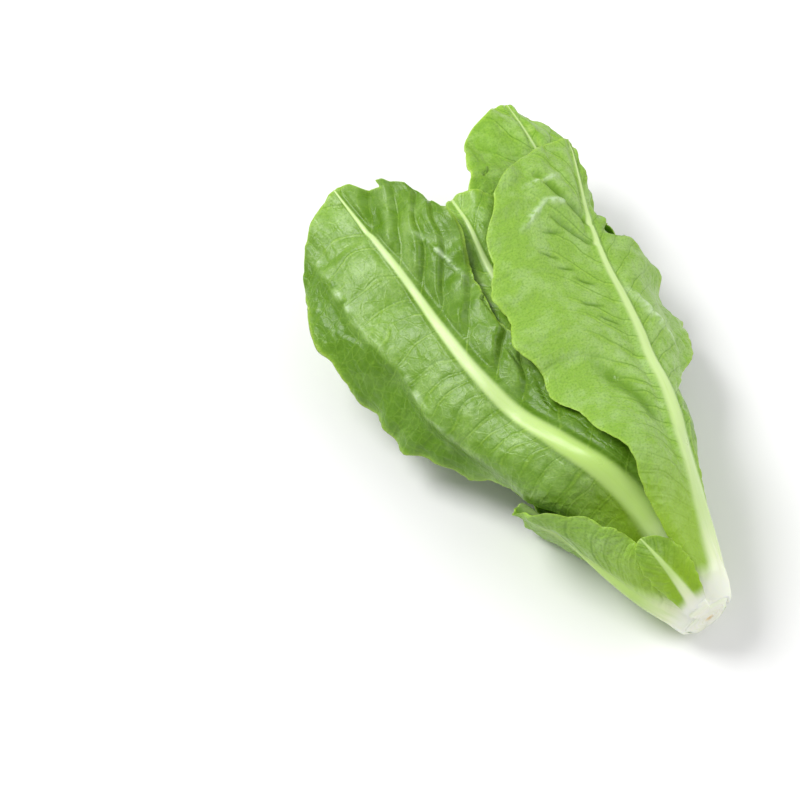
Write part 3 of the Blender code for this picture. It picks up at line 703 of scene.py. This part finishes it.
def leafTissueGroup():
    # colour, roughness and height of leaf tissue from the leaf's map and its values at each point
    colour, number = "NodeSocketColor", "NodeSocketFloat"
    tree, given, made = addGroup(
        "leafTissue",
        [(key, colour, (0.3, 0.5, 0.1, 1)) for key in tissueColours] + [("Foot Length", number, 0.04)],
        [("Color", colour), ("Roughness", number), ("Height", number)])

    def paint(share, under, key):
        return mixColours(tree, share, under, given.outputs[key])

    where = addNode(tree, "UVMap", ("uv_map", "surfaceMap")).outputs[0]
    rib, along = attribute(tree, "rib"), attribute(tree, "along")
    count, gap = attribute(tree, "veinCount"), attribute(tree, "veinGap")
    away, share = attribute(tree, "awayFromRib"), attribute(tree, "reachShare")

    # the net of fine veins: borders of warped cells, in two sizes
    warp = addNode(tree, "TexNoise", Vector=where, Scale=9.0, Detail=2.0)
    bend = addNode(tree, "VectorMath", ("operation", "MULTIPLY_ADD"),
                   n0=warp.outputs["Color"], n1=(0.05, 0.05, 0.0), n2=where)
    nets = []
    for scale in (15.0, 34.0):
        cell = addNode(tree, "TexVoronoi", ("feature", "DISTANCE_TO_EDGE"), Vector=bend.outputs[0], Scale=scale)
        nets.append(cell.outputs["Distance"])
    coarse = ramp(tree, nets[0], 0.0, 0.09, 1.0, 0.0)
    fine = ramp(tree, nets[1], 0.0, 0.12, 1.0, 0.0)

    # side veins: where their count is whole
    part = maths(tree, "FRACT", count)
    other = maths(tree, "SUBTRACT", 1.0, part)
    distance = times(tree, maths(tree, "MINIMUM", part, other), gap)
    line = ramp(tree, distance, 0.0002, timesPlus(tree, share, -0.0006, 0.0012), 1.0, 0.0)
    fork = times(tree, maths(tree, "ABSOLUTE", maths(tree, "SUBTRACT", part, 0.5)), gap)
    fork = times(tree, ramp(tree, fork, 0.0001, 0.0007, 0.8, 0.0), ramp(tree, share, 0.35, 0.6))
    line = maths(tree, "MAXIMUM", line, fork)
    line = times(tree, line, ramp(tree, along, 0.02, 0.07))

    # deep or lighter green in broad clouds, wax bloom with painted sheen on the pillows, painted shade in grooves
    # beside the side veins
    broad = noise(tree, where, 2.6)
    patches = noise(tree, where, 12.0, 4.0)
    # tone holds the leaf's own green and also painted shade from dents, the crease and one half's foot
    tone = attribute(tree, "tone")
    shade = timesPlus(tree, broad, 0.8, timesPlus(tree, tone, 0.9, -0.4))
    tissue = paint(ramp(tree, shade, 0.1, 0.75), given.outputs["Deep Blade"], "Blade")
    # pale wax bloom on the pillow tops, partly a painted highlight where their sheen would be
    pillowTop = attribute(tree, "pillowTop")
    top = times(tree, ramp(tree, pillowTop, 0.25, 0.85), ramp(tree, share, 0.75, 0.25))
    top = times(tree, top, ramp(tree, patches, 0.3, 0.62))
    clouds = times(tree, ramp(tree, noise(tree, where, 6.5, 4.0), 0.44, 0.66), 0.65)
    bloomAndSheen = times(tree, maths(tree, "MAXIMUM", top, clouds), ramp(tree, shade, 0.05, 0.6, 0.15, 0.75))
    tissue = paint(bloomAndSheen, tissue, "Bloom And Sheen")
    # painted shade in a groove beside each side vein, near the rib
    beside = maths(tree, "ABSOLUTE", maths(tree, "SUBTRACT", distance, 0.0011))
    groove = ramp(tree, beside, 0.0, 0.0007, 0.6, 0.0)
    groove = times(tree, groove, ramp(tree, away, 0.045, 0.012))
    groove = times(tree, groove, ramp(tree, part, 0.5, 0.45))
    tissue = paint(groove, tissue, "Deep Blade")
    netShare = timesPlus(tree, coarse, 0.1, times(tree, fine, 0.05))
    tissue = paint(netShare, tissue, "Edge")
    lineShare = times(tree, line, ramp(tree, patches, 0.35, 0.65, 0.06, 0.3))
    lineShare = times(tree, lineShare, ramp(tree, share, 0.25, 0.75, 1.0, 0.35))
    tissue = paint(lineShare, tissue, "Edge")
    tissue = paint(times(tree, attribute(tree, "margin"), 0.8), tissue, "Edge")
    mottled = ramp(tree, noise(tree, where, 75.0), 0.42, 0.75, 0.0, 0.45)
    tissue = paint(mottled, tissue, "Deep Blade")
    # painted shade in the dents' hollows
    tissue = paint(times(tree, attribute(tree, "paintedHollowShade"), 0.75), tissue, "Deep Blade")
    nearFoot = times(tree, ramp(tree, along, 0.085, 0.025), ramp(tree, shade, -0.45, 0.15, 0.15, 0.75))
    tissue = paint(nearFoot, tissue, "Base")
    # painted highlight along ridges and the fold line, broken up by noise
    broken = ramp(tree, noise(tree, where, 17.0), 0.36, 0.62, 0.0, 0.85)
    highlightShare = times(tree, attribute(tree, "paintedHighlight"), broken)
    tissue = mixColours(tree, highlightShare, tissue, (0.58, 0.74, 0.46, 1))

    # ribs pale towards the foot, with faint strands along them
    strands = addNode(tree, "Mapping", Vector=where, Scale=(14.0, 0.9, 1.0))
    strand = noise(tree, strands.outputs[0], 3.0)
    footShare = ramp(tree, along, times(tree, given.outputs["Foot Length"], 0.18),
                     given.outputs["Foot Length"], 1.0, 0.0)
    limeRib = times(tree, ramp(tree, along, 0.16, 0.07), attribute(tree, "limeRib"))
    flesh = paint(times(tree, limeRib, 0.6), given.outputs["Rib"], "Edge")
    flesh = paint(footShare, flesh, "Foot")
    flesh = paint(ramp(tree, strand, 0.45, 0.8, 0.0, 0.35), flesh, "Edge")
    flesh = mixColours(tree, ramp(tree, along, 0.002, 0.016, 0.9, 0.0), flesh, (0.93, 0.96, 0.84, 1))
    tissue = mixColours(tree, ramp(tree, along, 0.004, 0.014, 1.0, 0.0), tissue, flesh)
    painted = mixColours(tree, rib, tissue, flesh)

    rough = timesPlus(tree, rib, -0.02, timesPlus(tree, patches, 0.3, 0.2))
    height = timesPlus(tree, coarse, 0.35, times(tree, fine, 0.15))
    height = timesPlus(tree, line, 0.6, height)
    height = timesPlus(tree, noise(tree, where, 30.0, 4.0), 1.6, height)
    height = times(tree, height, maths(tree, "SUBTRACT", 1.0, rib))
    height = timesPlus(tree, strand, times(tree, rib, 0.25), height)
    wire(tree, made, Color=painted, Roughness=rough, Height=height)
    return tree


leafTissue = leafTissueGroup()


def newFinish(name):
    # a material, its node tree and its surface shader
    made = bpy.data.materials.new(name)
    made.use_nodes = True
    return made, made.node_tree, made.node_tree.nodes["Principled BSDF"]


def leafFinish(name, look):
    made, tree, shader = newFinish(name)
    tissue = addNode(tree, "Group", ("node_tree", leafTissue))
    for key in tissueColours:
        tissue.inputs[key].default_value = (*look[key], 1)
    tissue.inputs["Foot Length"].default_value = look["Foot Length"]
    bump = addNode(tree, "Bump", Strength=look["bump"], Distance=0.0006, Height=tissue.outputs["Height"])
    wire(tree, shader, Base_Color=tissue.outputs["Color"], Roughness=tissue.outputs["Roughness"],
         Normal=bump.outputs["Normal"], IOR=1.45, Specular_IOR_Level=0.38, Subsurface_Weight=look["glow"],
         Subsurface_Radius=(0.8, 1.0, 0.25), Subsurface_Scale=0.0022)
    return made


plainLook = {"Rib": (0.57, 0.74, 0.31), "Foot": (0.82, 0.9, 0.58), "Foot Length": 0.042, "bump": 0.35}
outerLook = {
    **plainLook, "Blade": (0.25, 0.445, 0.06), "Deep Blade": (0.098, 0.222, 0.008),
    "Bloom And Sheen": (0.4, 0.58, 0.22), "Edge": (0.4, 0.64, 0.08), "Base": (0.3, 0.5, 0.018), "glow": 0.2}
middleLook = {
    **plainLook, "Blade": (0.25, 0.46, 0.045), "Deep Blade": (0.1, 0.24, 0.008),
    "Bloom And Sheen": (0.42, 0.62, 0.2), "Edge": (0.44, 0.68, 0.09), "Base": (0.34, 0.54, 0.025), "glow": 0.25}
heartLook = {
    **plainLook, "Blade": (0.42, 0.58, 0.12), "Deep Blade": (0.28, 0.45, 0.06),
    "Bloom And Sheen": (0.56, 0.68, 0.28), "Rib": (0.64, 0.78, 0.36), "Edge": (0.62, 0.76, 0.24),
    "Base": (0.6, 0.74, 0.24), "Foot Length": 0.06, "glow": 0.3}

finishes = {"outer_leaf": leafFinish("outerLeafFlesh", outerLook),
            "middle_leaf": leafFinish("middleLeafFlesh", middleLook),
            "heart_leaf": leafFinish("heartLeafFlesh", heartLook)}

for leaf in leaves:
    makeLeaf(leaf, finishes[leaf["kind"]])
print("leaves made")


# The stem, with the leaves' feet grown into it

stemShape = dict(
    rings=90, faceRings=21, columns=240, shoulder=0.0026,
    feetFrom=0.0074, insideFeet=0.0052,         # from what height on the feet are followed, and how far inside
    sinksBy=0.003, sinksFrom=(0.001, 0.008),
    bareFrom=(0.013, 0.019), tipFrom=(0.052, 0.058),
    ringDepth=0.0002, rimDepth=0.0004,          # rings in the cut face, and its lower rim
)


def stemFinish():
    made, tree, shader = newFinish("cutStem")
    where = addNode(tree, "TexCoord").outputs["Object"]
    away = attribute(tree, "fromCentre")
    cut = attribute(tree, "cutFace")
    speck = noise(tree, where, 160.0, 4.0)
    cloudy = noise(tree, where, 60.0)
    flesh = mixColours(tree, ramp(tree, cloudy, 0.35, 0.7), (0.93, 0.96, 0.84, 1), (0.87, 0.93, 0.7, 1))
    ring = maths(tree, "SINE", timesPlus(tree, away, 2600.0, times(tree, cloudy, 5.0)))
    cutTint = mixColours(tree, ramp(tree, ring, -0.4, 1.0, 0.0, 0.35), (0.93, 0.94, 0.82, 1), (0.82, 0.86, 0.56, 1))
    warm = ramp(tree, timesPlus(tree, speck, 0.004, away), 0.0025, 0.006, 1.0, 0.0)
    cutTint = mixColours(tree, times(tree, warm, 0.8), cutTint, (0.8, 0.52, 0.14, 1))
    brown = times(tree, ramp(tree, speck, 0.6, 0.74), 0.4)
    cutTint = mixColours(tree, brown, cutTint, (0.5, 0.3, 0.1, 1))
    colour = mixColours(tree, cut, flesh, cutTint)
    bump = addNode(tree, "Bump", Strength=0.35, Distance=0.0005, Height=timesPlus(tree, ring, 0.1, speck))
    wire(tree, shader, Base_Color=colour, Normal=bump.outputs["Normal"],
         Roughness=timesPlus(tree, speck, 0.2, 0.3), Subsurface_Weight=0.3,
         Subsurface_Radius=(1.0, 0.9, 0.5), Subsurface_Scale=0.003)
    return made


def makeStem(shape):
    # rings from the cut's centre out to its edge, then up the stem to its tip. Near the cut the radius
    # follows the leaves' feet from inside, and under them it sinks to the bare stem's.
    columns = shape["columns"]
    angle = np.linspace(0, circle, columns, endpoint=False)[None, :]
    outRing = np.linspace(0, 1, shape["faceRings"] + 1)[1:, None]
    upRing = np.linspace(0, 1, shape["rings"])[1:, None] ** 1.4
    column = angle / (circle / head["turnSteps"])
    y = np.concatenate([np.zeros_like(outRing), upRing * head["stemLength"]]) * np.ones_like(angle)
    bare = stemRadiusAt(np.minimum(y, head["stemLength"] * 0.999))
    feetRow = (np.maximum(y, shape["feetFrom"]) - ringHeights[0]) / head["ringStep"]
    feet = lookUp(blur(np.concatenate([outside] * 3, axis=1), 5)[:, head["turnSteps"]:2 * head["turnSteps"]],
                  feetRow, column + 0 * y, True)
    sinking, toBare, toTip = [(y - low) / (high - low)
                              for low, high in (shape["sinksFrom"], shape["bareFrom"], shape["tipFrom"])]
    side = np.maximum(feet - shape["insideFeet"] - shape["sinksBy"] * smoothStep(sinking), bare)
    side = side + (bare - side) * smoothStep(toBare)
    side = side - shape["shoulder"] * (1 - np.sqrt(1 - np.clip(1 - y / shape["shoulder"], 0, 1) ** 2))
    tipRound = np.sqrt(np.clip(1 - np.clip(toTip, 0, 1) ** 2, 0, 1))
    face = np.concatenate([outRing, np.ones_like(upRing)]) * np.ones_like(angle)
    radius = side * np.maximum(tipRound, 0.02) * face
    groove = shape["ringDepth"] * np.sin(face * 40 + 2 * np.sin(3 * angle))
    onCut = np.concatenate([np.ones_like(outRing), np.zeros_like(upRing)]) * np.ones_like(angle)
    y = y + onCut * (groove * (face < 0.97) - shape["rimDepth"] * smoothStep((1 - face) / 0.12))
    points = placed(angle, y, radius)
    rings = len(y)
    centre, tip = placed(np.zeros(1), y[0, :1], np.zeros(1)), placed(np.zeros(1), y[-1, :1] + 0.0002, np.zeros(1))
    grid = np.arange(rings * columns).reshape(rings, columns)
    around = np.roll(grid, -1, axis=1)
    sides = np.stack([grid[:-1], grid[1:], around[1:], around[:-1]], -1).reshape(-1, 4)
    first, last = rings * columns, rings * columns + 1
    # each end is closed by triangles, written as quads' halves would be
    ends = [np.stack([np.full(columns, first), grid[0], around[0]], 1),
            np.stack([np.full(columns, last), around[-1], grid[-1]], 1)]
    allPoints = np.concatenate([points.reshape(-1, 3), centre, tip])
    mesh = bpy.data.meshes.new("stem_grown")
    mesh.from_pydata(allPoints.tolist(), [], sides.tolist() + ends[0].tolist() + ends[1].tolist())
    values = dict(fromCentre=np.append(radius.ravel(), (0, 0)),
                  cutFace=np.append((onCut * smoothStep((1 - face) / 0.15)).ravel(), (1, 0)))
    takePlace(addPiece("stem_grown", mesh, stemFinish(), values), "stem")


makeStem(stemShape)
print("stem made")


# Floor, light and camera

studio = dict(
    floorSize=6.0, floorColour=(0.93, 0.93, 0.93), worldStrength=0.47, aim=(0, 0, 0.03),
    keyPower=16.5, keySize=0.65, keyPlace=(-0.6, 0.65, 1.15),
    fillPower=9.0, fillSize=1.2, fillPlace=(1.0, -0.6, 0.8))


def makeFloor(shape):
    # a flat sheet just under the head
    across = np.linspace(-0.5, 0.5, 9) * shape["floorSize"]
    x, y = np.meshgrid(across, across, indexing="ij")
    points = np.stack([x, y, np.full_like(x, -0.0001)], -1).reshape(-1, 3)
    grid = np.arange(81).reshape(9, 9)
    faces = np.stack([grid[:-1, :-1], grid[1:, :-1], grid[1:, 1:], grid[:-1, 1:]], -1).reshape(-1, 4)
    mesh = bpy.data.meshes.new("studio_floor")
    mesh.from_pydata(points.tolist(), [], faces.tolist())
    finish, tree, shader = newFinish("paleFloor")
    wire(tree, shader, Base_Color=(*shape["floorColour"], 1), Roughness=0.6, Specular_IOR_Level=0.2)
    floor = addPiece("studio_floor", mesh, finish, {})


def areaLight(name, place, aim, size, power):
    # a soft square lamp that looks at the aim
    data = bpy.data.lights.new(name, "AREA")
    data.size = size
    data.energy = power
    light = bpy.data.objects.new(name, data)
    light.location = place
    light.rotation_mode = "QUATERNION"
    light.rotation_quaternion = (Vector(aim) - Vector(place)).to_track_quat("-Z", "Y")
    bpy.context.scene.collection.objects.link(light)


makeFloor(studio)
for light in ("key", "fill"):
    areaLight(light + "_light", studio[light + "Place"], studio["aim"], studio[light + "Size"], studio[light + "Power"])

world = bpy.data.worlds.new("pale_room")
world.use_nodes = True
background = world.node_tree.nodes["Background"]
background.inputs["Color"].default_value = (1, 1, 1, 1)
background.inputs["Strength"].default_value = studio["worldStrength"]
bpy.context.scene.world = world
bpy.context.scene.view_settings.view_transform = "Standard"

# The camera looks down 58 degrees, from 30.7 degrees to the left of the head's length. The butt's centre
# stands at pixel 709, 617 of an 800 by 800 picture, at 0.52 mm to the pixel.
shot = dict(yaw=30.7, elevation=58.0, distance=0.982, lens=85.0, pixels=800, perPixel=0.00052, butt=(709, 617))


def makeCamera(view):
    # right and up span the picture, so the target is the butt less its offset from the picture's middle
    yaw, rise = math.radians(view["yaw"]), math.radians(view["elevation"])
    right = Vector((math.cos(yaw), -math.sin(yaw), 0))
    upward = Vector((math.sin(yaw) * math.sin(rise), math.cos(yaw) * math.sin(rise), math.cos(rise)))
    back = right.cross(upward)
    butt = Vector(((stemLow.x + stemHigh.x) / 2, stemLow.y, float(np.interp(0.0, ringHeights, head["axis"]))))
    across, down = [(place - view["pixels"] / 2) * view["perPixel"] for place in view["butt"]]
    target = butt - right * across + upward * down
    data = bpy.data.cameras.new("photo_camera")
    data.lens = view["lens"]
    camera = bpy.data.objects.new("photo_camera", data)
    camera.location = target + back * view["distance"]
    camera.rotation_mode = "QUATERNION"
    camera.rotation_quaternion = Matrix((right, upward, back)).transposed().to_quaternion()
    bpy.context.scene.collection.objects.link(camera)
    bpy.context.scene.camera = camera


makeCamera(shot)
print("studio made")
